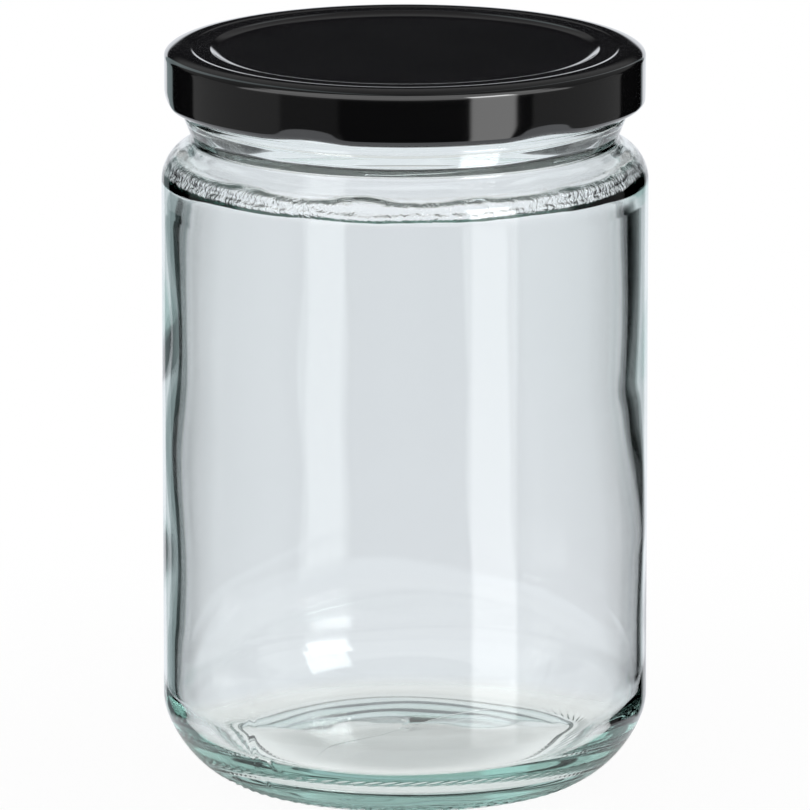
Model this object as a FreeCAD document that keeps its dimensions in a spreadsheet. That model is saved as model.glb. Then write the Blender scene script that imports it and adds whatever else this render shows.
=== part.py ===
import FreeCAD, Part
import math
import os
import Sketcher

# Round glass canning jar with a straight body, closed by a metal lid with six lugs.
# Millimetres, +Z up. The origin is the centre of the flat ring that the jar stands on,
# and the front of the jar looks towards -Y.

doc = FreeCAD.newDocument("CanningJar")

# Driving dimensions: (alias, value, what it is). Angles are in degrees.

drivingSizes = [
    # jar body
    ("jarHeight", 132.5, "rim of the glass above the table"),
    ("bodyDiameter", 88.0, "outside of the straight body"),
    ("bodyWall", 2.4, "glass thickness of the body"),
    ("shoulderRadius", 7.0, "outer rounding from body to shoulder"),
    ("shoulderAngle", 58.0, "turn of that rounding"),
    ("innerNeckRadius", 7.0, "inside rounding from shoulder to mouth"),
    # base
    ("heelUpperRadius", 10.2, "outer rounding where the body turns in to the heel"),
    ("heelUpperAngle", 21.0, "turn of that rounding"),
    ("heelRadius", 20.3, "larger outer rounding below it"),
    ("heelAngle", 62.0, "turn of both roundings together"),
    ("footRadius", 2.0, "small rounding beside the flat ring"),
    ("standingWidth", 1.2, "flat ring that touches the table"),
    ("pushUpStep", 1.2, "step inside the flat ring, its height and its width"),
    ("pushUpHeight", 4.2, "middle of the hollow under the base"),
    ("baseThickness", 4.0, "glass thickness in the middle of the base"),
    ("floorEdgeHeight", 5.6, "height where the floor turns up into the wall"),
    ("floorCornerRadius", 11.0, "inside rounding from floor to wall"),
    # finish, the moulded mouth that takes the lid
    ("finishDiameter", 78.6, "glass under the threads"),
    ("finishWall", 3.8, "glass thickness at the mouth"),
    ("rimOuterRadius", 0.9, "outer rounding of the rim"),
    ("rimInnerRadius", 1.5, "inner rounding of the rim"),
    ("beadDrop", 10.7, "middle of the bead below the rim"),
    ("beadStep", 0.8, "how far the bead stands out of the finish"),
    ("beadRadius", 1.0, "rounding of the bead"),
    ("grooveDepth", 0.9, "neck groove behind the finish"),
    ("grooveRadius", 1.0, "rounding at the bottom of the neck groove"),
    ("grooveAngle", 22.0, "lean of the neck between groove and bead"),
    # threads
    ("threadCount", 6, "thread starts, and lugs on the lid"),
    ("threadStep", 1.35, "how far a thread stands out of the finish"),
    ("threadDrop", 7.2, "lowest thread underside below the rim"),
    ("threadRoot", 1.6, "thread height where it leaves the finish"),
    ("threadTip", 0.9, "thread height at its outer edge"),
    ("threadEmbed", 0.3, "part of the thread section inside the glass"),
    ("threadRise", 1.5, "climb of one thread from end to end"),
    ("threadSweep", 46.0, "length of one thread round the finish"),
    # lid
    ("lidSheet", 0.4, "metal thickness"),
    ("lidClearance", 2.3, "gap between thread and skirt"),
    ("skirtHeight", 10.2, "whole height of the lid"),
    ("lidShoulder", 1.2, "outer rounding from top to skirt"),
    ("ringWidth", 6.95, "flat top of the raised sealing ring"),
    ("panelRecess", 0.6, "middle panel below the sealing ring"),
    ("panelSlope", 1.2, "width of the slope between panel and ring"),
    ("curlRadius", 0.85, "rolled edge at the foot of the skirt"),
    ("curlFlat", 0.5, "rolled edge pressed up below each lug"),
    ("curlFlatSweep", 22.0, "width of that flat"),
    ("lugEngagement", 0.5, "how far a lug reaches in under its thread"),
    ("lugGap", 0.15, "play between a lug and its thread"),
    ("lugSweep", 17.0, "width of a lug"),
    ("lugSeat", 6.0, "middle of a lug past the low end of its thread"),
    # seal
    ("sealThickness", 0.8, "sealing ring inside the lid"),
    ("sealPlay", 1.0, "sealing ring in from each edge of the flat top"),
]

# Sizes worked out from the driving ones, each from the lines above it.

workedSizes = [
    ("bodyRadius", "bodyDiameter / 2"),
    ("innerRadius", "bodyRadius - bodyWall"),
    # heel and base
    ("heelMidRadius", "bodyRadius - heelUpperRadius * (1 - cos(heelUpperAngle))"),
    ("heelLowRadius", "heelMidRadius - heelRadius * (cos(heelUpperAngle) - cos(heelAngle))"),
    ("heelLowHeight", "footRadius * (1 - sin(heelAngle))"),
    ("heelMidHeight", "heelLowHeight + heelRadius * (sin(heelAngle) - sin(heelUpperAngle))"),
    ("heelTop", "heelMidHeight + heelUpperRadius * sin(heelUpperAngle)"),
    ("standingOuter", "heelLowRadius - footRadius * cos(heelAngle)"),
    ("standingInner", "standingOuter - standingWidth"),
    ("hollowRadius", "standingInner - pushUpStep"),
    ("hollowRise", "pushUpHeight - pushUpStep"),
    ("hollowDome", "(hollowRadius ^ 2 + hollowRise ^ 2) / (2 * hollowRise)"),
    ("floorRadius", "innerRadius - floorCornerRadius"),
    ("floorTop", "pushUpHeight + baseThickness"),
    ("floorRise", "floorTop - floorEdgeHeight"),
    ("floorDome", "(floorRadius ^ 2 + floorRise ^ 2) / (2 * floorRise)"),
    ("floorCornerTop", "floorEdgeHeight + floorCornerRadius"),
    # finish and neck, worked out downwards from the rim
    ("finishRadius", "finishDiameter / 2"),
    ("mouthRadius", "finishRadius - finishWall"),
    ("rimOuterStart", "jarHeight - rimOuterRadius"),
    ("rimOuterEnd", "finishRadius - rimOuterRadius"),
    ("rimInnerStart", "mouthRadius + rimInnerRadius"),
    ("rimInnerEnd", "jarHeight - rimInnerRadius"),
    ("beadHeight", "jarHeight - beadDrop"),
    ("beadCentre", "finishRadius + beadStep - beadRadius"),
    ("beadTop", "beadHeight + sqrt(beadRadius ^ 2 - (beadRadius - beadStep) ^ 2)"),
    ("beadLowRadius", "beadCentre + beadRadius * cos(grooveAngle)"),
    ("beadLowHeight", "beadHeight - beadRadius * sin(grooveAngle)"),
    ("grooveCentre", "finishRadius - grooveDepth + grooveRadius"),
    ("neckLowRadius", "grooveCentre - grooveRadius * cos(grooveAngle)"),
    ("neckLowHeight", "beadLowHeight - (beadLowRadius - neckLowRadius) / tan(grooveAngle)"),
    ("grooveHeight", "neckLowHeight - grooveRadius * sin(grooveAngle)"),
    ("slopeTopRadius", "grooveCentre - grooveRadius * cos(shoulderAngle)"),
    ("slopeTopHeight", "grooveHeight - grooveRadius * sin(shoulderAngle)"),
    # shoulder
    ("slopeLowRadius", "bodyRadius - shoulderRadius * (1 - cos(shoulderAngle))"),
    ("slopeLowHeight", "slopeTopHeight - (slopeLowRadius - slopeTopRadius) / tan(shoulderAngle)"),
    ("shoulderBase", "slopeLowHeight - shoulderRadius * sin(shoulderAngle)"),
    ("innerShoulder", "shoulderRadius - bodyWall"),
    ("innerSlopeRadius", "innerRadius - innerShoulder * (1 - cos(shoulderAngle))"),
    ("innerSlopeHeight", "shoulderBase + innerShoulder * sin(shoulderAngle)"),
    ("innerNeckLowRadius", "mouthRadius + innerNeckRadius * (1 - cos(shoulderAngle))"),
    ("innerNeckLow", "innerSlopeHeight + (innerSlopeRadius - innerNeckLowRadius) / tan(shoulderAngle)"),
    ("innerNeckTop", "innerNeckLow + innerNeckRadius * sin(shoulderAngle)"),
    # threads
    ("threadRadius", "finishRadius + threadStep"),
    ("threadRootRadius", "finishRadius - threadEmbed"),
    ("threadLow", "jarHeight - threadDrop"),
    ("threadRootTop", "threadLow + threadRoot"),
    ("threadTipLow", "threadLow + (threadRoot - threadTip) / 2"),
    ("threadTipTop", "threadTipLow + threadTip"),
    ("threadPitch", "threadRise * 360 / threadSweep"),
    # seal and lid, worked out upwards from the rim
    ("sealTop", "jarHeight + sealThickness"),
    ("lidTop", "sealTop + lidSheet"),
    ("lidFoot", "lidTop - skirtHeight"),
    ("skirtInner", "threadRadius + lidClearance"),
    ("skirtOuter", "skirtInner + lidSheet"),
    ("ringOuter", "skirtOuter - lidShoulder"),
    ("ringInner", "ringOuter - ringWidth"),
    ("panelRadius", "ringInner - panelSlope"),
    ("panelTop", "lidTop - panelRecess"),
    ("panelUnder", "panelTop - lidSheet"),
    ("shoulderFoot", "lidTop - lidShoulder"),
    ("lidShoulderInner", "lidShoulder - lidSheet"),
    ("curlCentre", "skirtOuter - curlRadius"),
    ("curlInner", "curlCentre - curlRadius"),
    ("curlHeight", "lidFoot + curlRadius"),
    ("curlJoin", "curlHeight + sqrt(curlRadius ^ 2 - (skirtInner - curlCentre) ^ 2)"),
    ("sealInner", "ringInner + sealPlay"),
    ("sealOuter", "ringOuter - sealPlay"),
    # lugs
    ("lugInner", "threadRadius - lugEngagement"),
    ("lugTop", "threadLow - lugGap"),
    ("lugLow", "lidFoot + curlFlat"),
    ("lugRounding", "(lugTop - lugLow) / 2"),
    ("lugMiddle", "lugLow + lugRounding"),
    ("lugNose", "lugInner + lugRounding"),
    ("flatInner", "curlInner - curlFlat"),
    ("flatOuter", "skirtOuter + curlFlat"),
    ("flatBottom", "lidFoot - curlFlat"),
]


def fillSheet(name, rows):
    """Spreadsheet with one alias, value and note in each row."""
    sheet = doc.addObject("Spreadsheet::Sheet", name)
    for number, (alias, content, note) in enumerate(rows, start=1):
        sheet.set("A%d" % number, alias)
        sheet.set("B%d" % number, str(content))
        sheet.set("C%d" % number, note)
        sheet.setAlias("B%d" % number, alias)
    doc.recompute()
    return sheet


sizes = fillSheet("sizes", drivingSizes)
driving = [alias for alias, value, note in drivingSizes]


def formula(text):
    """Spreadsheet formula in which a driving size is read from its own sheet."""
    words = []
    for word in text.replace("(", "( ").replace(")", " )").split():
        words.append("sizes." + word if word in driving else word)
    return "=" + " ".join(words)


worked = fillSheet("worked", [(alias, formula(text), text) for alias, text in workedSizes])


def reference(alias):
    """Expression that reads an alias from whichever sheet holds it."""
    return ("sizes." if alias in driving else "worked.") + alias


def number(alias):
    sheet = sizes if alias in driving else worked
    return float(getattr(sheet, alias))


# Geometry helpers.


def originFeature(body, role):
    """Origin plane or axis of a body, found by its role."""
    return next(feature for feature in body.Origin.OriginFeatures if feature.Role == role)


def newBody(label):
    body = doc.addObject("PartDesign::Body", label)
    body.Label = label
    return body


def arcBetween(start, end, radius, turn):
    """Arc shorter than a half circle. turn is 1 for counterclockwise and -1 for clockwise."""
    chord = end - start
    half = chord.Length / 2
    reach = math.sqrt(max(radius ** 2 - half ** 2, 0))
    side = FreeCAD.Vector(-chord.y, chord.x, 0).normalize() * turn
    centre = (start + end) / 2 + side * reach
    first, last = (start, end) if turn > 0 else (end, start)
    startAngle = math.atan2(first.y - centre.y, first.x - centre.x)
    endAngle = math.atan2(last.y - centre.y, last.x - centre.x)
    circle = Part.Circle(centre, FreeCAD.Vector(0, 0, 1), radius)
    return Part.ArcOfCircle(circle, startAngle, endAngle)


def pinCoordinate(sketch, kind, geometry, end, alias):
    """Place one coordinate of a section corner, where None is the axis or the table."""
    if alias is None:
        axis = -2 if kind == "DistanceX" else -1
        sketch.addConstraint(Sketcher.Constraint("PointOnObject", geometry, end, axis))
        return
    value = number(alias)
    index = sketch.addConstraint(Sketcher.Constraint(kind, -1, 1, geometry, end, value))
    sketch.setExpression("Constraints[%d]" % index, reference(alias))


def section(body, name, corners):
    """Closed section in the XZ plane, listed counterclockwise.

    A corner is (radius, height) where a straight line leaves it, or
    (radius, height, arc radius, turn) where an arc does.
    """
    sketch = body.newObject("Sketcher::SketchObject", name)
    sketch.AttachmentSupport = (originFeature(body, "XZ_Plane"), [""])
    sketch.MapMode = "FlatFace"
    points = []
    for corner in corners:
        x, y = [0 if alias is None else number(alias) for alias in corner[:2]]
        points.append(FreeCAD.Vector(x, y, 0))
    ends = []
    for index, corner in enumerate(corners):
        start = points[index]
        end = points[(index + 1) % len(points)]
        if len(corner) == 2:
            geometry = sketch.addGeometry(Part.LineSegment(start, end), False)
            ends.append((geometry, 1, 2))
            continue
        arcRadius, turn = corner[2:]
        geometry = sketch.addGeometry(arcBetween(start, end, number(arcRadius), turn), False)
        ends.append((geometry, 1, 2) if turn > 0 else (geometry, 2, 1))
    for index, corner in enumerate(corners):
        geometry, startEnd, finishEnd = ends[index]
        following, nextStart, nextFinish = ends[(index + 1) % len(corners)]
        sketch.addConstraint(
            Sketcher.Constraint("Coincident", geometry, finishEnd, following, nextStart)
        )
        pinCoordinate(sketch, "DistanceX", geometry, startEnd, corner[0])
        pinCoordinate(sketch, "DistanceY", geometry, startEnd, corner[1])
        if len(corner) > 2:
            radius = Sketcher.Constraint("Radius", geometry, number(corner[2]))
            bound = sketch.addConstraint(radius)
            sketch.setExpression("Constraints[%d]" % bound, reference(corner[2]))
    doc.recompute()
    return sketch


def turned(body, kind, name, sketch, sweep=None):
    """Revolution or Groove of a section about Z, all round or over a named sweep."""
    feature = body.newObject("PartDesign::" + kind, name)
    feature.Profile = sketch
    feature.ReferenceAxis = (sketch, ["V_Axis"])
    feature.Angle = 360
    if sweep:
        feature.setExpression("Angle", reference(sweep))
        feature.Midplane = True
    sketch.Visibility = False
    doc.recompute()
    return feature


def repeated(body, name, features):
    """The features repeated round Z, once for each thread start."""
    pattern = body.newObject("PartDesign::PolarPattern", name)
    pattern.Originals = features
    pattern.Axis = (originFeature(body, "Z_Axis"), [""])
    pattern.Angle = 360
    pattern.setExpression("Occurrences", reference("threadCount"))
    body.Tip = pattern
    doc.recompute()
    return pattern


# Glass: one closed section turned round Z, then the thread starts.


def makeJar():
    body = newBody("jar_glass")
    glass = section(body, "glassSection", [
        # underside, from the axis out to the flat ring
        (None, "pushUpHeight", "hollowDome", -1),
        ("hollowRadius", "pushUpStep"),
        ("standingInner", None),
        ("standingOuter", None, "footRadius", 1),
        # heel, body and shoulder
        ("heelLowRadius", "heelLowHeight", "heelRadius", 1),
        ("heelMidRadius", "heelMidHeight", "heelUpperRadius", 1),
        ("bodyRadius", "heelTop"),
        ("bodyRadius", "shoulderBase", "shoulderRadius", 1),
        ("slopeLowRadius", "slopeLowHeight"),
        # neck groove, bead and finish
        ("slopeTopRadius", "slopeTopHeight", "grooveRadius", -1),
        ("neckLowRadius", "neckLowHeight"),
        ("beadLowRadius", "beadLowHeight", "beadRadius", 1),
        ("finishRadius", "beadTop"),
        ("finishRadius", "rimOuterStart", "rimOuterRadius", 1),
        ("rimOuterEnd", "jarHeight"),
        ("rimInnerStart", "jarHeight", "rimInnerRadius", 1),
        # inside, from the mouth down to the floor
        ("mouthRadius", "rimInnerEnd"),
        ("mouthRadius", "innerNeckTop", "innerNeckRadius", 1),
        ("innerNeckLowRadius", "innerNeckLow"),
        ("innerSlopeRadius", "innerSlopeHeight", "innerShoulder", -1),
        ("innerRadius", "shoulderBase"),
        ("innerRadius", "floorCornerTop", "floorCornerRadius", -1),
        ("floorRadius", "floorEdgeHeight", "floorDome", 1),
        (None, "floorTop"),
    ])
    turned(body, "Revolution", "glassTurned", glass)
    thread = section(body, "threadSection", [
        ("threadRootRadius", "threadLow"),
        ("threadRadius", "threadTipLow"),
        ("threadRadius", "threadTipTop"),
        ("threadRootRadius", "threadRootTop"),
    ])
    helix = body.newObject("PartDesign::AdditiveHelix", "threadStart")
    helix.Profile = thread
    helix.ReferenceAxis = (thread, ["V_Axis"])
    helix.Mode = "pitch-height-angle"
    helix.setExpression("Pitch", reference("threadPitch"))
    helix.setExpression("Height", reference("threadRise"))
    thread.Visibility = False
    doc.recompute()
    repeated(body, "threads", [helix])
    return body


# Lid: thin pressed sheet with a raised sealing ring, a rolled edge and lugs pressed in from it.


def makeLid():
    body = newBody("lid")
    sheetMetal = section(body, "sheetSection", [
        # underside, from the axis out and down inside the skirt
        (None, "panelUnder"),
        ("panelRadius", "panelUnder"),
        ("ringInner", "sealTop"),
        ("ringOuter", "sealTop", "lidShoulderInner", -1),
        ("skirtInner", "shoulderFoot"),
        # rolled edge
        ("skirtInner", "curlJoin", "curlRadius", 1),
        ("curlInner", "curlHeight", "curlRadius", 1),
        ("curlCentre", "lidFoot", "curlRadius", 1),
        ("skirtOuter", "curlHeight"),
        # outside, up the skirt and in over the ring to the panel
        ("skirtOuter", "shoulderFoot", "lidShoulder", 1),
        ("ringOuter", "lidTop"),
        ("ringInner", "lidTop"),
        ("panelRadius", "panelTop"),
        (None, "panelTop"),
    ])
    turned(body, "Revolution", "sheetTurned", sheetMetal)
    flat = section(body, "flatSection", [
        ("flatInner", "flatBottom"),
        ("flatOuter", "flatBottom"),
        ("flatOuter", "lugLow"),
        ("flatInner", "lugLow"),
    ])
    flats = turned(body, "Groove", "curlPressed", flat, "curlFlatSweep")
    lug = section(body, "lugSection", [
        ("curlCentre", "lugLow"),
        ("curlCentre", "lugTop"),
        ("lugNose", "lugTop", "lugRounding", 1),
        ("lugInner", "lugMiddle", "lugRounding", 1),
        ("lugNose", "lugLow"),
    ])
    lugs = turned(body, "Revolution", "lugPressed", lug, "lugSweep")
    repeated(body, "lugs", [flats, lugs])
    # the closed lid is turned so that each lug sits under the low end of a thread
    body.setExpression("Placement.Rotation.Angle", reference("lugSeat"))
    body.Placement.Rotation = FreeCAD.Rotation(FreeCAD.Vector(0, 0, 1), number("lugSeat"))
    return body


def makeSeal():
    body = newBody("lid_seal")
    ring = section(body, "sealSection", [
        ("sealInner", "jarHeight"),
        ("sealOuter", "jarHeight"),
        ("sealOuter", "sealTop"),
        ("sealInner", "sealTop"),
    ])
    turned(body, "Revolution", "sealTurned", ring)
    return body


parts = [makeJar(), makeLid(), makeSeal()]
doc.recompute()

# Every object has to be sound before anything is written.

for item in doc.Objects:
    if "Invalid" in item.State or "Error" in item.State:
        raise RuntimeError(item.Name + " failed: " + str(item.State))

for body in parts:
    if body.Shape.isNull() or not body.Shape.isValid():
        raise RuntimeError(body.Label + " has no valid shape")

os.makedirs("parts", exist_ok=True)
for body in parts:
    body.Shape.exportStep("parts/" + body.Label + ".step")
    print(body.Label, "%.1f mm3," % body.Shape.Volume, len(body.Shape.Solids), "solid")
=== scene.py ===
import math

import bpy
import numpy as np
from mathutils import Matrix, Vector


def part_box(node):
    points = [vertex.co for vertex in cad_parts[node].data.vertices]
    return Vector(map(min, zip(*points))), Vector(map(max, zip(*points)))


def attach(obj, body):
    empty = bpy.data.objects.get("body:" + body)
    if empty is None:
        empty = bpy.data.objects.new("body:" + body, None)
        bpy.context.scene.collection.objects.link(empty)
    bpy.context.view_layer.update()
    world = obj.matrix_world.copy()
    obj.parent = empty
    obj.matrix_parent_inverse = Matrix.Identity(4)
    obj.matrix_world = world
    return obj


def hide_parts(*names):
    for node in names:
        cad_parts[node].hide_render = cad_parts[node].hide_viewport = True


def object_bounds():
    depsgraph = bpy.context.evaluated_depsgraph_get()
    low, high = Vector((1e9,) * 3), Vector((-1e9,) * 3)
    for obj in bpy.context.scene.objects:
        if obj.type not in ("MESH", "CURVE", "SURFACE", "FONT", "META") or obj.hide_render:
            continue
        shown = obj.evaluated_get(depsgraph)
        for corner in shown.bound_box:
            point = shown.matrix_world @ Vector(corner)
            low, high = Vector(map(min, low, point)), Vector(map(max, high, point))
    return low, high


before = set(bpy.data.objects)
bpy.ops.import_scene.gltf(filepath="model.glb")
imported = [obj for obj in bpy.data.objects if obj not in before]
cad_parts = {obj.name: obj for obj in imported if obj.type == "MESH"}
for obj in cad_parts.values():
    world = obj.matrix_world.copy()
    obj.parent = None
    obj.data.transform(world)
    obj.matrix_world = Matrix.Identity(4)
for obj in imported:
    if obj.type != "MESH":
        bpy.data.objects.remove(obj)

cadLow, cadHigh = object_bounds()
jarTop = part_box("jar_glass")[1]
lidLow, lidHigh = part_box("lid")
mm = 0.001
print("frame: loaded, the object is %.1f mm high" % ((cadHigh[2] - cadLow[2]) / mm))


def linearColour(code):  # sRGB hex to the linear values that Blender works in
    parts = [int(code[i:i + 2], 16) / 255 for i in (0, 2, 4)]
    return [p / 12.92 if p <= 0.04045 else ((p + 0.055) / 1.055) ** 2.4 for p in parts] + [1.0]


def addNode(tree, kind, settings=None, inputs=None):
    node = tree.nodes.new(kind)
    for name, value in (settings or {}).items():
        setattr(node, name, value)
    for name, value in (inputs or {}).items():
        if isinstance(value, bpy.types.NodeSocket):
            tree.links.new(value, node.inputs[name])
        else:
            node.inputs[name].default_value = value
    return node


def emptyMaterial(name):
    material = bpy.data.materials.new(name)
    material.use_nodes = True
    material.node_tree.nodes.clear()
    return material


# profiles are lists of radius and height in millimetres, turned about the jar's axis

def arc(centreR, centreZ, radius, start, end, count):
    angles = np.radians(np.linspace(start, end, count))
    return [(centreR + radius * math.cos(a), centreZ + radius * math.sin(a)) for a in angles]


def straight(r0, z0, r1, z1, count):
    return list(zip(np.linspace(r0, r1, count), np.linspace(z0, z1, count)))


def dome(r0, r1, crown, radius, count):  # a shallow dome, highest on the axis
    return [(r, crown - radius + math.sqrt(radius * radius - r * r)) for r in np.linspace(r0, r1, count)]


def withoutRepeats(points):
    kept = [points[0]]
    for point in points[1:]:
        if math.dist(point, kept[-1]) > 0.002:
            kept.append(point)
    return np.array(kept)


def outward(profile):  # unit normals of a profile that runs anticlockwise round the material
    step = np.gradient(profile, axis=0)
    step /= np.linalg.norm(step, axis=1)[:, None]
    return np.stack([step[:, 1], -step[:, 0]], axis=1)


def bump(value, centre, width):  # 1 at the centre, 0 beyond the width, smooth between
    t = np.clip(np.abs(value - centre) / width, 0, 1)
    return (1 + np.cos(math.pi * t)) / 2


def rise(value, low, high):  # 0 below low, 1 above high, smooth between
    t = np.clip((value - low) / (high - low), 0, 1)
    return t * t * (3 - 2 * t)


def within(value, riseLow, riseHigh, fallLow, fallHigh):
    return rise(value, riseLow, riseHigh) * (1 - rise(value, fallLow, fallHigh))


def turnAway(angle, centre):  # degrees round from centre, -180 to 180
    return (angle - centre + 180) % 360 - 180


def ripple(angle, height, seed, orders, wavelengths, count):
    # seeded waves, about -1 to 1, that close round the jar
    random = np.random.default_rng(seed)
    total = np.zeros(np.broadcast(angle, height).shape)
    for _ in range(count):
        order = random.integers(orders[0], orders[1] + 1)
        wavelength = random.uniform(*wavelengths)
        phase = random.uniform(0, 2 * math.pi)
        slope = random.choice((-1, 1)) / wavelength
        total += np.cos(order * np.radians(angle) + 2 * math.pi * slope * height + phase)
    return total / math.sqrt(count / 2) / 2


def turnedMesh(name, radii, heights, angles, firstPole, lastPole):
    # radii and heights have a row for each profile point and a column for each angle
    # a pole, on the axis, closes each end
    rows, columns = radii.shape
    turn = np.radians(angles)[None, :]
    points = np.stack([radii * np.sin(turn), -radii * np.cos(turn), heights], axis=2).reshape(-1, 3)
    points = np.vstack([points, [[0, 0, firstPole], [0, 0, lastPole]]])
    cell = np.arange(rows * columns).reshape(rows, columns)
    after = np.roll(cell, -1, axis=1)
    faces = np.stack([cell[:-1], after[:-1], after[1:], cell[1:]], axis=2).reshape(-1, 4).tolist()
    first, last = rows * columns, rows * columns + 1
    faces += [[first, b, a] for a, b in zip(cell[0], after[0])]
    faces += [[last, a, b] for a, b in zip(cell[-1], after[-1])]
    mesh = bpy.data.meshes.new(name)
    mesh.from_pydata((points * mm).tolist(), [], faces)
    mesh.shade_smooth()
    piece = bpy.data.objects.new(name, mesh)
    bpy.context.scene.collection.objects.link(piece)
    return piece


# the glass, in millimetres and degrees
glass = {
    "segments": 456,  # six to each knurl stroke
    "bodyRadius": jarTop[0] / mm,
    "height": jarTop[2] / mm,
    "wall": 2.4,
    "poleRadius": 0.8,  # the rows of faces end here and meet the axis in one ring of triangles
    # under the jar: a dome, its 45 degree edge and the flat ring that the jar stands on
    "hollowCrown": 4.2,
    "hollowDome": 157.17,
    "hollowRim": 30.56,
    "hollowEdge": 1.2,
    "standWidth": 1.2,
    "standOuter": 32.962,
    # three arcs, each tangent to the next: centre across and up, radius, start, end, points
    "heelArcs": (
        (32.962, 2.0, 2.0, -90, -62, 6),
        (24.371, 18.158, 20.3, -62, -21, 26),
        (33.8, 14.538, 10.2, -21, 0, 8),
    ),
    "heelTop": 14.538,
    # the floor inside
    "floorCrown": 8.2,
    "floorDome": 181.37,
    "floorEdge": 5.6,
    "floorCorner": 11.0,
    # the shoulder and the neck: a groove, then a bead, then the finish that the lid screws on
    "shoulderRadius": 7.0,
    "shoulderAngle": 58,
    "shoulderHeight": 109.271,
    "slope": ((40.709, 115.207), (38.870, 116.356)),  # straight, from the shoulder to the groove
    "grooveRadius": 1.0,
    "grooveDepth": 0.9,
    "grooveAngle": 22,
    "grooveHeight": 117.204,
    "rampUp": ((38.473, 117.579), (40.027, 121.425)),  # straight, from the groove to the bead
    "beadRadius": 1.0,
    "beadStands": 0.8,
    "beadDrop": 10.7,
    "beadEnd": 78.5,
    "finishFoot": 122.78,
    "finishRadius": 39.3,
    "rimOuter": 0.9,
    "rimInner": 1.5,
    "bore": 35.5,
    "neckRadius": 7.0,
    "neckHeight": 119.512,
    "fineAbove": 104.0,  # closer rows inside the shoulder
    # uneven blown inside: seed, orders round the jar, wavelengths up it, number of waves
    "wallWave": 0.13,
    "wallRipple": (3, (1, 5), (30, 90), 14),
    "wallSpan": (14, 50, 106, 113),
    # where the wall ran thin, or thick when below 0: height and amount, at the left and at the right
    "leftWall": ((10, 0.0), (28, -0.4), (60, -0.5), (104, -0.8), (112, -0.6)),
    "rightWall": ((10, 0.2), (20, 0.6), (44, 0.6), (72, -1.0), (106, -1.1), (112, -0.8)),
    "sideWidth": 120.0,
    "sideTop": (109, 113),
    "floorWave": 0.10,
    "floorRipple": (5, (1, 6), (12, 40), 12),
    "floorHeight": (7, 10),
    "floorRadius": (4, 18),
    # ragged ledges where the wall turns in to the neck: seed, height, half width, depth
    "ledges": ((8, 112.0, 0.9, 0.26), (12, 110.5, 0.9, 0.40), (16, 114.6, 0.9, 0.10)),
    "ledgeWander": 0.30,
    "ledgeWanderRipple": ((2, 14), (1, 2), 12),
    "ledgeWear": 0.35,
    "ledgeWearPitch": 0.3,
    "ledgeWearRipple": ((9, 60), (3, 9), 18),
    # torn skin between the ledges
    "tornCentre": 111.3,
    "tornWidth": 1.8,
    "tornDepth": 0.13,
    "tornRipple": (10, (20, 110), (1.0, 3), 40),
    "patchRipple": (21, (2, 9), (1, 2), 8),
    "patchSharpness": 2.5,
    "patchLeast": 0.35,
    # the grain on it: from and to across, where it starts and ends up the jar, width and depth
    "grainRadius": (42.2, 42.4),
    "grainFoot": (109.6, 110.3),
    "grainTop": (112.0, 112.8),
    "grainSize": 0.7,
    "grainDepth": 0.30,
    # nearly true outside, set in a little so that the seams stay within the size
    "inset": 0.05,
    "insetSpan": (2, 6, 115, 117),
    "outsideWave": 0.02,
    "outsideRipple": (11, (1, 4), (40, 120), 10),
    "outsideSpan": (14, 20, 112, 115),
    "seamAngle": -38.7,  # one of the mould's two joints, degrees from the front
    "seamSpan": (1, 3, 113, 114),
    "seamHeight": 0.07,  # on the curves, where there is room for it
    "seamOnBody": 0.03,
    "seamRoom": (0.2, 1.2),
    # slanted strokes on the ring that the jar stands on, and a row of dots inside it
    "underHeight": 2.2,
    "strokes": 76,
    "strokeDepth": 0.45,
    "strokeCentre": 34.7,
    "strokeWidth": 2.1,
    "strokeSlant": 3.2,  # degrees for each millimetre out
    "slantFrom": 34.6,
    "dotDepth": 0.14,
    "dotCentre": 31.2,
    "dotWidth": 0.7,
    # six ribs of thread, hidden under the lid
    "threads": 6,
    "threadStart": 30.0,
    "threadLength": 46.0,
    "threadTaper": 6.0,
    "threadClimb": 1.5,
    "threadLow": 126.1,
    "threadHalf": 1.1,
    "threadRadius": 40.65,
    "threadSpan": (122.9, 131.5),  # no rib below or above these heights
}


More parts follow.
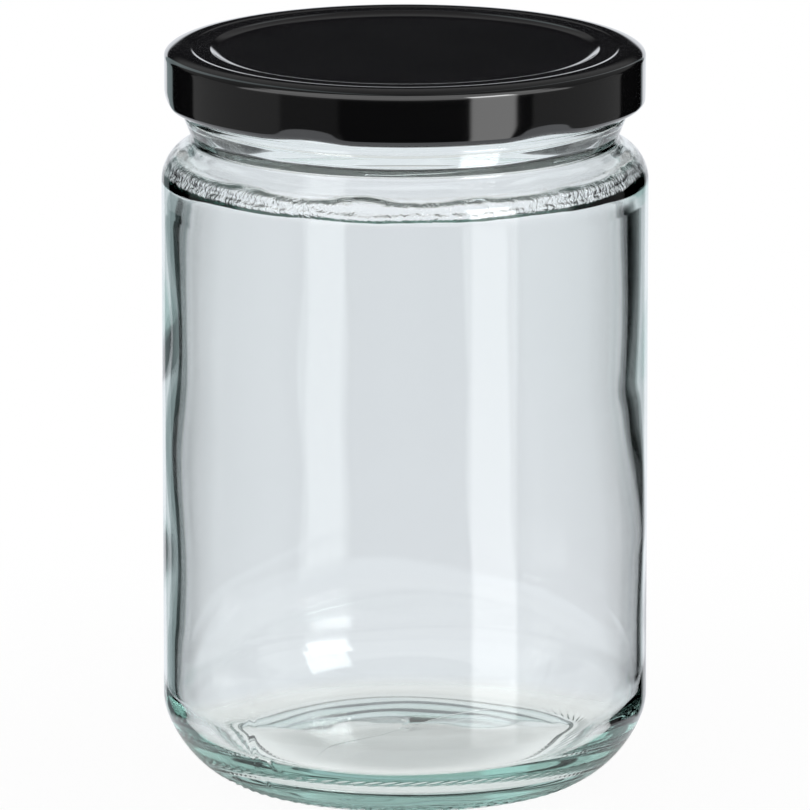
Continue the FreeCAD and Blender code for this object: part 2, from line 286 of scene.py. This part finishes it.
def glassProfile():
    body, height, pole = glass["bodyRadius"], glass["height"], glass["poleRadius"]
    finish, bead, groove = glass["finishRadius"], glass["beadRadius"], glass["grooveRadius"]
    shoulder, shoulderZ = glass["shoulderRadius"], glass["shoulderHeight"]
    shoulderAngle, grooveAngle = glass["shoulderAngle"], glass["grooveAngle"]
    rimOuter, rimInner = glass["rimOuter"], glass["rimInner"]
    bore, neck, neckZ = glass["bore"], glass["neckRadius"], glass["neckHeight"]
    standOuter, edge = glass["standOuter"], glass["hollowEdge"]
    standInner = standOuter - glass["standWidth"]

    outside = dome(pole, glass["hollowRim"], glass["hollowCrown"], glass["hollowDome"], 22)
    outside += straight(standInner - edge, edge, standInner, 0.0, 7)
    outside += straight(standInner, 0.0, standOuter, 0.0, 5)
    for heelArc in glass["heelArcs"]:
        outside += arc(*heelArc)
    outside += straight(body, glass["heelTop"], body, shoulderZ, 40)
    outside += arc(body - shoulder, shoulderZ, shoulder, 0, shoulderAngle, 16)
    outside += straight(*glass["slope"][0], *glass["slope"][1], 5)
    outside += arc(finish - glass["grooveDepth"] + groove, glass["grooveHeight"], groove,
                   180 + shoulderAngle, 180 - grooveAngle, 8)
    outside += straight(*glass["rampUp"][0], *glass["rampUp"][1], 8)
    outside += arc(finish + glass["beadStands"] - bead, height - glass["beadDrop"], bead,
                   -grooveAngle, glass["beadEnd"], 8)
    outside += straight(finish, glass["finishFoot"], finish, height - rimOuter, 22)
    outside += arc(finish - rimOuter, height - rimOuter, rimOuter, 0, 90, 5)

    inner = body - glass["wall"]
    floorRadius = inner - glass["floorCorner"]
    floorZ = glass["floorEdge"] + glass["floorCorner"]
    inside = arc(bore + rimInner, height - rimInner, rimInner, 90, 180, 6)
    inside += straight(bore, height - rimInner, bore, neckZ, 9)
    inside += arc(bore + neck, neckZ, neck, 180, 180 + shoulderAngle, 22)
    inside += arc(body - shoulder, shoulderZ, shoulder - glass["wall"], shoulderAngle, 0, 26)
    inside += straight(inner, shoulderZ, inner, glass["fineAbove"], 30)
    inside += straight(inner, glass["fineAbove"], inner, floorZ, 60)
    inside += arc(floorRadius, floorZ, glass["floorCorner"], 0, -90, 26)
    inside += dome(floorRadius, pole, glass["floorCrown"], glass["floorDome"], 18)
    outside, inside = withoutRepeats(outside), withoutRepeats(inside)
    return np.vstack([outside, inside]), len(outside)


def insideDepth(angle, radius, height):  # how far the inner surface goes into the glass
    wallPart = within(height, *glass["wallSpan"])
    depth = wallPart * glass["wallWave"] * ripple(angle, height, *glass["wallRipple"])
    for side, knots in ((-90, glass["leftWall"]), (90, glass["rightWall"])):
        amount = np.interp(height, [z for z, d in knots], [d for z, d in knots])
        sidePart = (1 - rise(height, *glass["sideTop"])) * bump(turnAway(angle, side), 0, glass["sideWidth"])
        depth = depth + sidePart * amount
    for seed, z, halfWidth, deep in glass["ledges"]:
        wander = glass["ledgeWander"] * ripple(angle, 0 * height, seed, *glass["ledgeWanderRipple"])
        wear = ripple(angle, glass["ledgeWearPitch"] * height, seed + 1, *glass["ledgeWearRipple"])
        depth = depth + deep * (1 + glass["ledgeWear"] * wear) * bump(height, z + wander, halfWidth)
    patches = 0.5 + 0.5 * np.tanh(glass["patchSharpness"] * ripple(angle, 0 * height, *glass["patchRipple"]))
    tornPart = glass["patchLeast"] + (1 - glass["patchLeast"]) * patches
    tornPart = tornPart * bump(height, glass["tornCentre"], glass["tornWidth"])
    depth = depth + tornPart * glass["tornDepth"] * ripple(angle, height, *glass["tornRipple"])
    floorPart = (1 - rise(height, *glass["floorHeight"])) * rise(radius, *glass["floorRadius"])
    return depth + floorPart * glass["floorWave"] * ripple(angle, radius, *glass["floorRipple"])


def outsideDepth(angle, radius, height):  # the same for the outer surface, which is nearly true
    wave = 1 + ripple(angle, height, *glass["outsideRipple"])
    depth = within(height, *glass["outsideSpan"]) * glass["outsideWave"] * wave
    depth = depth + within(height, *glass["insetSpan"]) * glass["inset"]
    room = rise(glass["bodyRadius"] - radius, *glass["seamRoom"])
    for seam in (glass["seamAngle"], glass["seamAngle"] + 180):
        line = bump(turnAway(angle, seam), 0, 1.0) * within(height, *glass["seamSpan"])
        depth = depth - line * (glass["seamHeight"] * room + glass["seamOnBody"])

    under = height < glass["underHeight"]
    slant = (radius - glass["slantFrom"]) * glass["strokeSlant"]
    stroke = np.cos(np.radians(glass["strokes"] * (angle - slant)))
    strokeRing = under * bump(radius, glass["strokeCentre"], glass["strokeWidth"])
    depth = depth + strokeRing * glass["strokeDepth"] * (1 - stroke) / 2
    dots = np.cos(np.radians(2 * glass["strokes"] * angle))
    dotRing = under * bump(radius, glass["dotCentre"], glass["dotWidth"])
    depth = depth + dotRing * glass["dotDepth"] * (1 - dots) / 2
    return depth - threadHeight(angle, height)


def threadHeight(angle, height):
    length, taper = glass["threadLength"], glass["threadTaper"]
    total = 0.0
    for k in range(glass["threads"]):
        middle = glass["threadStart"] + length / 2 + 360 / glass["threads"] * k
        along = turnAway(angle, middle) + length / 2
        path = glass["threadLow"] + glass["threadClimb"] * along / length
        ends = within(along, 0, taper, length - taper, length)
        total = total + ends * bump(height, path, glass["threadHalf"])
    foot, top = glass["threadSpan"]
    return total * (height > foot) * (height < top) * (glass["threadRadius"] - glass["finishRadius"])


def makeGlass():
    profile, outsideCount = glassProfile()
    normals = outward(profile)
    angles = np.arange(glass["segments"]) * 360 / glass["segments"]
    angle = turnAway(angles, 0)[None, :]
    radius = profile[:, 0][:, None]
    height = profile[:, 1][:, None]
    isInside = (np.arange(len(profile)) >= outsideCount)[:, None]
    depth = isInside * insideDepth(angle, radius, height)
    depth = depth + (1 - isInside) * outsideDepth(angle, radius, height)
    radii = radius - depth * normals[:, 0][:, None]
    heights = height - depth * normals[:, 1][:, None]
    return turnedMesh("glassJar", radii, heights, angles, glass["hollowCrown"], glass["floorCrown"])


def sodaLimeGlass():
    # fire-polished moulded glass: clear on the flat, blue-green where it is thick
    material = emptyMaterial("sodaLimeGlass")
    tree = material.node_tree
    place = addNode(tree, "ShaderNodeTexCoord")
    skin = addNode(tree, "ShaderNodeTexNoise", None,
                   {"Vector": place.outputs["Object"], "Scale": 1 / (9 * mm), "Detail": 1.0})
    relief = addNode(tree, "ShaderNodeBump", None,
                     {"Height": skin.outputs["Fac"], "Strength": 0.10, "Distance": 0.04 * mm})

    # torn grain, only on the ledges inside the shoulder
    innerEdge, outerEdge = glass["grainRadius"]
    footStart, footEnd = glass["grainFoot"]
    topStart, topEnd = glass["grainTop"]
    across = addNode(tree, "ShaderNodeSeparateXYZ", None, {"Vector": place.outputs["Object"]})
    level = addNode(tree, "ShaderNodeCombineXYZ", None,
                    {"X": across.outputs["X"], "Y": across.outputs["Y"]})
    fromAxis = addNode(tree, "ShaderNodeVectorMath", {"operation": "LENGTH"}, {0: level.outputs["Vector"]})
    inner = addNode(tree, "ShaderNodeMapRange", None, {
        "Value": fromAxis.outputs["Value"],
        "From Min": innerEdge * mm, "From Max": outerEdge * mm, "To Min": 1.0, "To Max": 0.0})
    lower = addNode(tree, "ShaderNodeMapRange", {"interpolation_type": "SMOOTHSTEP"}, {
        "Value": across.outputs["Z"], "From Min": footStart * mm, "From Max": footEnd * mm})
    upper = addNode(tree, "ShaderNodeMapRange", {"interpolation_type": "SMOOTHSTEP"}, {
        "Value": across.outputs["Z"],
        "From Min": topStart * mm, "From Max": topEnd * mm, "To Min": 1.0, "To Max": 0.0})
    band = addNode(tree, "ShaderNodeMath", {"operation": "MULTIPLY"},
                   {0: lower.outputs[0], 1: upper.outputs[0]})
    torn = addNode(tree, "ShaderNodeMath", {"operation": "MULTIPLY"},
                   {0: band.outputs[0], 1: inner.outputs[0]})
    grain = addNode(tree, "ShaderNodeTexNoise", None, {
        "Vector": place.outputs["Object"], "Scale": 1 / (glass["grainSize"] * mm), "Detail": 3.0})
    grainy = addNode(tree, "ShaderNodeMath", {"operation": "MULTIPLY"},
                     {0: torn.outputs[0], 1: grain.outputs["Fac"]})
    rough = addNode(tree, "ShaderNodeBump", None, {
        "Height": grainy.outputs[0],
        "Strength": 1.0,
        "Distance": glass["grainDepth"] * mm,
        "Normal": relief.outputs["Normal"],
    })

    surface = addNode(tree, "ShaderNodeBsdfPrincipled", None, {
        "Base Color": linearColour("ffffff"),
        "Roughness": 0.0,
        "IOR": 1.52,
        "Transmission Weight": 1.0,
        "Normal": rough.outputs["Normal"],
    })
    depth = addNode(tree, "ShaderNodeVolumeAbsorption", None,
                    {"Color": linearColour("80c9be"), "Density": 17.0})
    addNode(tree, "ShaderNodeOutputMaterial", None,
            {"Surface": surface.outputs["BSDF"], "Volume": depth.outputs["Volume"]})
    return material


glassJar = makeGlass()
glassJar.data.materials.append(sodaLimeGlass())
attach(glassJar, "root")
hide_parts("jar_glass")
print("glass: %d faces" % len(glassJar.data.polygons))


# the enamelled tinplate lid, in millimetres and degrees
lid = {
    "segments": 360,
    "sheet": 0.4,
    "poleRadius": 0.8,
    "top": lidHigh[2] / mm - 0.02,
    "foot": lidLow[2] / mm,
    "skirtRadius": 43.35,
    "shoulder": 1.5,
    "crown": 3.4,  # the rounding starts slowly on the top and ends fast on the skirt
    "panelDrop": 0.70,
    "panelEdge": 33.0,
    "ringInner": 35.1,
    "step": 0.12,  # the top is pressed a little lower over the seal
    "stepEdges": (38.1, 38.8),
    "curl": 1.1,
    "curlEnd": -250,  # rolled under and back up to here
    "curlInside": 0.8,  # where the inner wall starts, above the middle of the curl
    "lugs": 6,
    "lugSeat": 36.0,
    "lugReach": 1.5,
    "lugWidth": 17.0,
    "lugTaper": 2.5,
    "lugRise": 0.1,  # above the middle of the curl
    "lugHalf": 1.2,
    "flatDepth": 0.5,  # the skirt is pressed flatter at each lug
    "flatWidth": 26.0,
    "flatInset": 0.4,  # part of the depth that goes inwards
    "flatFade": (-0.2, 1.6),  # from the middle of the curl up
}
lid["panel"] = lid["top"] - lid["panelDrop"]
lid["curlHeight"] = lid["foot"] + lid["curl"]


def lidProfile():
    sheet, top, reach, bend = lid["sheet"], lid["top"], lid["skirtRadius"], lid["shoulder"]
    crown, pole, panel, curl = lid["crown"], lid["poleRadius"], lid["panel"], lid["curl"]
    stepInner, stepOuter = lid["stepEdges"]
    edge = lid["panelEdge"]
    topR = np.concatenate([np.linspace(edge, stepOuter, 40), np.linspace(stepOuter + 0.3, reach - crown, 5)])
    # a hollow curve that steepens to the ring's edge
    climb = np.clip((topR - edge) / (lid["ringInner"] - edge), 0, 1) ** 2
    topZ = panel + (top - lid["step"] - panel) * climb + lid["step"] * rise(topR, stepInner, stepOuter)

    def rounding(start, end, thick, count):
        return [(reach - crown + (crown - thick) * math.cos(a), top - bend + (bend - thick) * math.sin(a))
                for a in np.linspace(start, end, count)]

    above = straight(pole, panel, edge, panel, 14)
    above += list(zip(topR, topZ))
    above += rounding(math.pi / 2, 0, 0, 26)
    above += straight(reach, top - bend, reach, lid["curlHeight"], 12)
    above += arc(reach - curl, lid["curlHeight"], curl, 0, lid["curlEnd"], 22)
    below = straight(reach - sheet, lid["curlHeight"] + lid["curlInside"], reach - sheet, top - bend, 8)
    below += rounding(0, math.pi / 2, sheet, 12)
    below += list(zip(topR, topZ - sheet))[::-1]
    below += straight(edge, panel - sheet, pole, panel - sheet, 10)
    above, below = withoutRepeats(above), withoutRepeats(below)
    return np.vstack([above, below]), len(above)


def makeLid():
    profile, aboveCount = lidProfile()
    columns = lid["segments"]
    angles = np.arange(columns) * 360 / columns
    radius = profile[:, 0][:, None]
    height = profile[:, 1][:, None]
    lugs, curlHeight = lid["lugs"], lid["curlHeight"]
    away = turnAway(angles[None, :] * lugs, lid["lugSeat"] * lugs) / lugs  # from the nearest lug
    flat = bump(away, 0, lid["flatWidth"] / 2)
    foot = 1 - rise(height - curlHeight, *lid["flatFade"])
    outer = radius > lid["skirtRadius"] - lid["curl"]
    lugged = 1 - rise(np.abs(away), lid["lugWidth"] / 2 - lid["lugTaper"], lid["lugWidth"] / 2)
    lugFace = bump(height, curlHeight + lid["lugRise"], lid["lugHalf"])
    lugFace = lugFace * (radius < lid["skirtRadius"] - lid["curl"])
    radii = radius - lid["flatInset"] * foot * flat * lid["flatDepth"] * outer
    radii = radii - lugged * lugFace * lid["lugReach"]
    heights = height + foot * flat * lid["flatDepth"]
    # the profile runs clockwise round the sheet, so it is turned over to face outwards
    bottom, panel = lid["panel"] - lid["sheet"], lid["panel"]
    shell = turnedMesh("lidShell", radii[::-1], heights[::-1], angles, bottom, panel)
    shell.data.materials.append(blackEnamel())
    shell.data.materials.append(paleLacquer())
    quads = (len(profile) - 1) * columns
    under = (len(profile) - aboveCount - 1) * columns
    for face in shell.data.polygons:
        face.material_index = int(face.index < under or quads <= face.index < quads + columns)
    return shell


def blackEnamel():
    # gloss stoving enamel on tinplate: a sharp reflection over black, with a trace of orange peel
    material = emptyMaterial("blackStovingEnamel")
    tree = material.node_tree
    place = addNode(tree, "ShaderNodeTexCoord")
    peel = addNode(tree, "ShaderNodeTexNoise", None,
                   {"Vector": place.outputs["Object"], "Scale": 1 / (2.5 * mm), "Detail": 2.0})
    relief = addNode(tree, "ShaderNodeBump", None,
                     {"Height": peel.outputs["Fac"], "Strength": 0.05, "Distance": 0.02 * mm})
    wear = addNode(tree, "ShaderNodeTexNoise", None,
                   {"Vector": place.outputs["Object"], "Scale": 1 / (14 * mm), "Detail": 3.0})
    gloss = addNode(tree, "ShaderNodeMapRange", None,
                    {"Value": wear.outputs["Fac"], "To Min": 0.07, "To Max": 0.11})
    surface = addNode(tree, "ShaderNodeBsdfPrincipled", None, {
        "Base Color": linearColour("0d0d0e"),
        "Roughness": gloss.outputs["Result"],
        "IOR": 1.5,
        "Coat Weight": 1.0,
        "Coat Roughness": 0.03,
        "Normal": relief.outputs["Normal"],
    })
    addNode(tree, "ShaderNodeOutputMaterial", None, {"Surface": surface.outputs["BSDF"]})
    return material


def paleLacquer():
    # the inside of the lid: white epoxy lacquer, satin, faintly uneven
    material = emptyMaterial("whiteEpoxyLacquer")
    tree = material.node_tree
    place = addNode(tree, "ShaderNodeTexCoord")
    cloud = addNode(tree, "ShaderNodeTexNoise", None,
                    {"Vector": place.outputs["Object"], "Scale": 1 / (8 * mm), "Detail": 2.0})
    tint = addNode(tree, "ShaderNodeMix", {"data_type": "RGBA"}, {
        "Factor": cloud.outputs["Fac"], "A": linearColour("f1f1ee"), "B": linearColour("f8f8f5")})
    surface = addNode(tree, "ShaderNodeBsdfPrincipled", None,
                      {"Base Color": tint.outputs["Result"], "Roughness": 0.35, "IOR": 1.5})
    addNode(tree, "ShaderNodeOutputMaterial", None, {"Surface": surface.outputs["BSDF"]})
    return material


lidShell = makeLid()
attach(lidShell, "root")
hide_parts("lid")
print("lid: %d faces" % len(lidShell.data.polygons))

def sealingCompound():
    # soft flowed-in plastisol: pale, matt, faintly mottled
    material = emptyMaterial("plastisolSealingCompound")
    tree = material.node_tree
    place = addNode(tree, "ShaderNodeTexCoord")
    mottle = addNode(tree, "ShaderNodeTexNoise", None,
                     {"Vector": place.outputs["Object"], "Scale": 1 / (1.5 * mm), "Detail": 3.0})
    tint = addNode(tree, "ShaderNodeMix", {"data_type": "RGBA"}, {
        "Factor": mottle.outputs["Fac"], "A": linearColour("cfcfca"), "B": linearColour("dcdcd8")})
    surface = addNode(tree, "ShaderNodeBsdfPrincipled", None,
                      {"Base Color": tint.outputs["Result"], "Roughness": 0.6, "IOR": 1.5})
    addNode(tree, "ShaderNodeOutputMaterial", None, {"Surface": surface.outputs["BSDF"]})
    return material


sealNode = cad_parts["lid_seal"]  # the CAD ring keeps its shape
sealNode.data.materials.clear()
sealNode.data.materials.append(sealingCompound())
print("seal: finished")


# a small pale table, a paper sweep behind it, soft boxes and black cloth round the camera
studio = {
    "tableCentre": (0.0, 150.0),
    "tableRadius": 300.0,
    "tableSegments": 96,
    "tableGap": 0.05,
    "tableGlow": 0.95,
    # painted shade under the jar: for rays through the glass the table glows less there, 0.40 at the axis
    # rising to 0.85
    "underGlowPaintedShade": (0.40, 0.85),
    # where these change, in millimetres from the jar's axis
    "glowFade": (50, 200),
    "paintedShadeSpan": (18, 30),
    "clearBeyond": (40, 56),
    "ambient": 0.8,
    "sweep": "eef1f6",
    # angle round from the camera and up from level, in degrees: left, right, bottom, top, soft edge, colour
    "cloths": (
        (-400, 400, 7.5, 100, 1.5, "161618"),
        (-161, -140, -19, 100, 1.5, "8e9c9e"),
        (150, 159.5, -19, 100, 1.5, "8f9698"),
        (-148.5, 156, -19, 100, 1.0, "000000"),
    ),
    # the same for the lights, with their strength
    "boxes": (
        (31.5, 54.5, -19, 10, 1.5, 1.9),
        (31.5, 54.5, 10, 35, 1.5, 8.0),
        (-85, 85, -6, 48, 3.0, 1.1),
        (-100, 100, 46, 95, 4.0, 1.1),
        (-400, 400, 18, 90, 4.0, 0.10),
        (-122, -62, -19, 22, 1.5, 0.19),
        (-62, -32, -19, 22, 1.5, 0.07),
        (63.6, 125.5, -19, 22, 1.5, 0.16),
    ),
    # pale wall behind the jar, that only the glass shows
    "behind": ((-400, -105, 9, 60, 2.0, 0.75), (105, 400, 9, 60, 2.0, 0.75)),
}


def makeWorld():
    world = bpy.data.worlds.new("studio")
    world.use_nodes = True
    tree = world.node_tree
    tree.nodes.clear()
    place = addNode(tree, "ShaderNodeTexCoord")
    split = addNode(tree, "ShaderNodeSeparateXYZ", None, {"Vector": place.outputs["Generated"]})
    back = addNode(tree, "ShaderNodeMath", {"operation": "MULTIPLY"}, {0: split.outputs["Y"], 1: -1.0})
    turn = addNode(tree, "ShaderNodeMath", {"operation": "ARCTAN2"},
                   {0: split.outputs["X"], 1: back.outputs[0]})
    turnDegrees = addNode(tree, "ShaderNodeMath", {"operation": "DEGREES"}, {0: turn.outputs[0]})
    lift = addNode(tree, "ShaderNodeMath", {"operation": "ARCSINE"}, {0: split.outputs["Z"]})
    liftDegrees = addNode(tree, "ShaderNodeMath", {"operation": "DEGREES"}, {0: lift.outputs[0]})

    def window(left, right, bottom, top, edge):  # 1 inside the box, 0 outside it
        result = None
        for way, low, high in ((turnDegrees, left, right), (liftDegrees, bottom, top)):
            for start, sign in ((low, 1), (high, -1)):
                side = addNode(tree, "ShaderNodeMapRange", {"interpolation_type": "SMOOTHSTEP"}, {
                    "Value": way.outputs[0],
                    "From Min": start - edge * sign, "From Max": start + edge * sign})
                if result is None:
                    result = side.outputs[0]
                else:
                    both = addNode(tree, "ShaderNodeMath", {"operation": "MULTIPLY"},
                                   {0: result, 1: side.outputs[0]})
                    result = both.outputs[0]
        return result

    path = addNode(tree, "ShaderNodeLightPath")
    light = linearColour(studio["sweep"])[:3]
    for *sides, colour in studio["cloths"]:
        cover = addNode(tree, "ShaderNodeMix", {"data_type": "VECTOR"},
                        {"Factor": window(*sides), 4: light, 5: linearColour(colour)[:3]})
        light = cover.outputs[1]
    for kind in ("boxes", "behind"):
        for *sides, strength in studio[kind]:
            lit = addNode(tree, "ShaderNodeMath", {"operation": "MULTIPLY"}, {0: window(*sides), 1: strength})
            if kind == "behind":
                lit = addNode(tree, "ShaderNodeMath", {"operation": "MULTIPLY"},
                              {0: lit.outputs[0], 1: path.outputs["Is Transmission Ray"]})
            more = addNode(tree, "ShaderNodeVectorMath", {"operation": "ADD"}, {0: light, 1: lit.outputs[0]})
            light = more.outputs[0]

    seen = addNode(tree, "ShaderNodeMath", {"operation": "MAXIMUM"},
                   {0: path.outputs["Is Glossy Ray"], 1: path.outputs["Is Transmission Ray"]})
    plain = addNode(tree, "ShaderNodeMix", {"data_type": "VECTOR"},
                    {"Factor": seen.outputs[0], 4: (studio["ambient"],) * 3, 5: light})
    shown = addNode(tree, "ShaderNodeMix", {"data_type": "VECTOR"},
                    {"Factor": path.outputs["Is Camera Ray"], 4: plain.outputs[1], 5: (1.0, 1.0, 1.0)})
    glow = addNode(tree, "ShaderNodeBackground", None, {"Color": shown.outputs[1], "Strength": 1.0})
    addNode(tree, "ShaderNodeOutputWorld", None, {"Surface": glow.outputs[0]})
    bpy.context.scene.world = world


def whitePaper():
    # matt white paper that fades into the white behind it; through the glass it is greyer under the jar,
    # partly its real shadow and partly painted shade from a lower glow there
    material = emptyMaterial("whitePaper")
    tree = material.node_tree
    paper = addNode(tree, "ShaderNodeBsdfDiffuse", None, {"Color": linearColour("f2f2f2")})
    path = addNode(tree, "ShaderNodeLightPath")
    place = addNode(tree, "ShaderNodeTexCoord")
    away = addNode(tree, "ShaderNodeVectorMath", {"operation": "LENGTH"}, {0: place.outputs["Object"]})
    # from and to in millimetres from the axis, then the amounts there
    fades = {}
    for name, span, amounts in (
        ("glow", studio["glowFade"], (studio["tableGlow"], 1.0)),
        ("under", studio["paintedShadeSpan"], studio["underGlowPaintedShade"]),
        ("beyond", studio["clearBeyond"], (0.0, 1.0)),
    ):
        fades[name] = addNode(tree, "ShaderNodeMapRange", {"interpolation_type": "SMOOTHSTEP"}, {
            "Value": away.outputs["Value"], "From Min": span[0] * mm, "From Max": span[1] * mm,
            "To Min": amounts[0], "To Max": amounts[1]}).outputs[0]

    glow = addNode(tree, "ShaderNodeEmission", None, {"Color": linearColour("ffffff"), "Strength": 1.0})
    # rays through the glass get less glow under the jar: painted shade on top of the real shadow
    kinds = addNode(tree, "ShaderNodeMath", {"operation": "MULTIPLY_ADD"}, {
        0: path.outputs["Is Transmission Ray"], 1: fades["under"], 2: path.outputs["Is Camera Ray"]})
    share = addNode(tree, "ShaderNodeMath", {"operation": "MULTIPLY"},
                    {0: kinds.outputs[0], 1: fades["glow"]})
    lit = addNode(tree, "ShaderNodeMixShader", None,
                  {"Fac": share.outputs[0], 1: paper.outputs[0], 2: glow.outputs[0]})
    # away from the jar, the studio's own light stands for the table in the glass and in the lid
    through = addNode(tree, "ShaderNodeMath", {"operation": "MAXIMUM"},
                      {0: path.outputs["Is Glossy Ray"], 1: path.outputs["Is Transmission Ray"]})
    gone = addNode(tree, "ShaderNodeMath", {"operation": "MULTIPLY"},
                   {0: through.outputs[0], 1: fades["beyond"]})
    clear = addNode(tree, "ShaderNodeBsdfTransparent")
    both = addNode(tree, "ShaderNodeMixShader", None,
                   {"Fac": gone.outputs[0], 1: lit.outputs[0], 2: clear.outputs[0]})
    addNode(tree, "ShaderNodeOutputMaterial", None, {"Surface": both.outputs[0]})
    return material


def makeTable():
    count, radius = studio["tableSegments"], studio["tableRadius"]
    centreX, centreY = studio["tableCentre"]
    turns = np.linspace(0, 2 * math.pi, count, endpoint=False)
    points = [((centreX + radius * math.cos(a)) * mm, (centreY + radius * math.sin(a)) * mm, 0.0)
              for a in turns]
    mesh = bpy.data.meshes.new("table")
    mesh.from_pydata(points, [], [list(range(count))])
    mesh.materials.append(whitePaper())
    table = bpy.data.objects.new("table", mesh)
    table.location.z = cadLow[2] - studio["tableGap"] * mm
    bpy.context.scene.collection.objects.link(table)


makeWorld()
makeTable()
print("studio: ready")


# the camera, on the jar's front; its place in millimetres and its tilt down in degrees
camera = {
    "distance": 1900.0,
    "height": 498.4,
    "tilt": 12.78,
    "lens": 477.8,
    "sensor": 36.0,
    "clip": (0.1, 20.0),  # metres
}

scene = bpy.context.scene
cameraData = bpy.data.cameras.new("camera")
cameraData.lens = camera["lens"]
cameraData.sensor_width = camera["sensor"]
cameraData.clip_start, cameraData.clip_end = camera["clip"]
cameraObject = bpy.data.objects.new("camera", cameraData)
cameraObject.location = (0.0, -camera["distance"] * mm, camera["height"] * mm)
cameraObject.rotation_euler = (math.radians(90 - camera["tilt"]), 0.0, 0.0)
scene.collection.objects.link(cameraObject)
scene.camera = cameraObject
scene.view_settings.view_transform = "Standard"
# light goes through many walls of glass
scene.cycles.max_bounces = 24
scene.cycles.glossy_bounces = 12
scene.cycles.transmission_bounces = 24
print("camera: ready")
